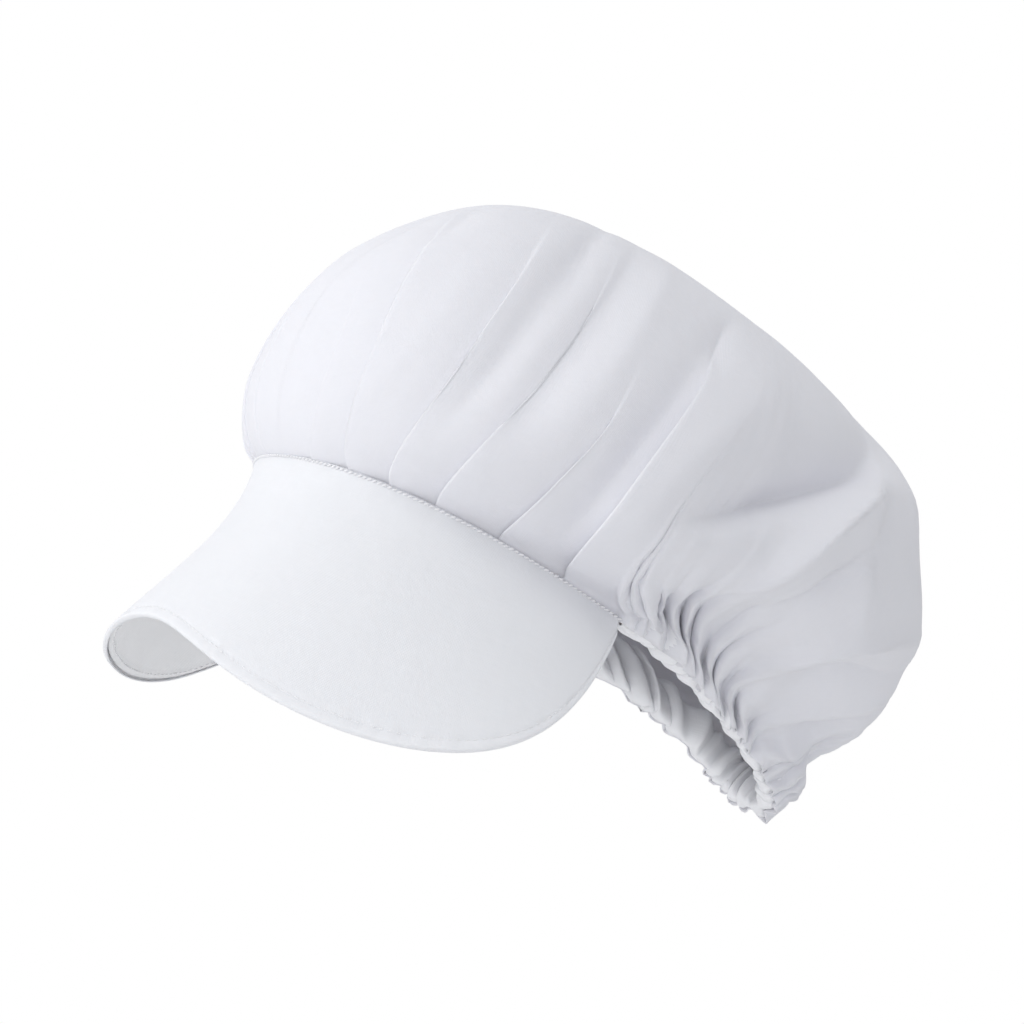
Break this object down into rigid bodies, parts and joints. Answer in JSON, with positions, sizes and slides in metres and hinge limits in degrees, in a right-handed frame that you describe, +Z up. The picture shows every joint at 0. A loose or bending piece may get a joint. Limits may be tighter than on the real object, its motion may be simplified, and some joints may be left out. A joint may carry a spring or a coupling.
{
  "type": "bouffant cap",
  "caption": "Bouffant work cap: a pleated and gathered cloth crown with a soft two-ply peak in front and an elasticated hem behind.",
  "frame": {"origin": "middle of the head opening at the height of the crown's front seam, where a head holds the cap", "axes": "+Z up as worn, the peak points to -Y, +X is the wearer's left"},
  "size_m": [0.2256, 0.2987, 0.2241],
  "materials": {
    "crown_cloth": "matt plain-weave white cotton blend",
    "peak_cloth": "matt plain-weave white cotton blend, topstitched",
    "peak_underside_cloth": "matt plain-weave white cotton blend",
    "casing_cloth": "matt plain-weave white cotton blend, gathered",
    "elastic": "woven elastic band"
  },
  "bodies": {
    "root": {"crown": "crown_cloth", "peak_top": "peak_cloth", "peak_underside": "peak_underside_cloth", "hem_casing": "casing_cloth", "hem_elastic": "elastic"}
  },
  "joints": []
}
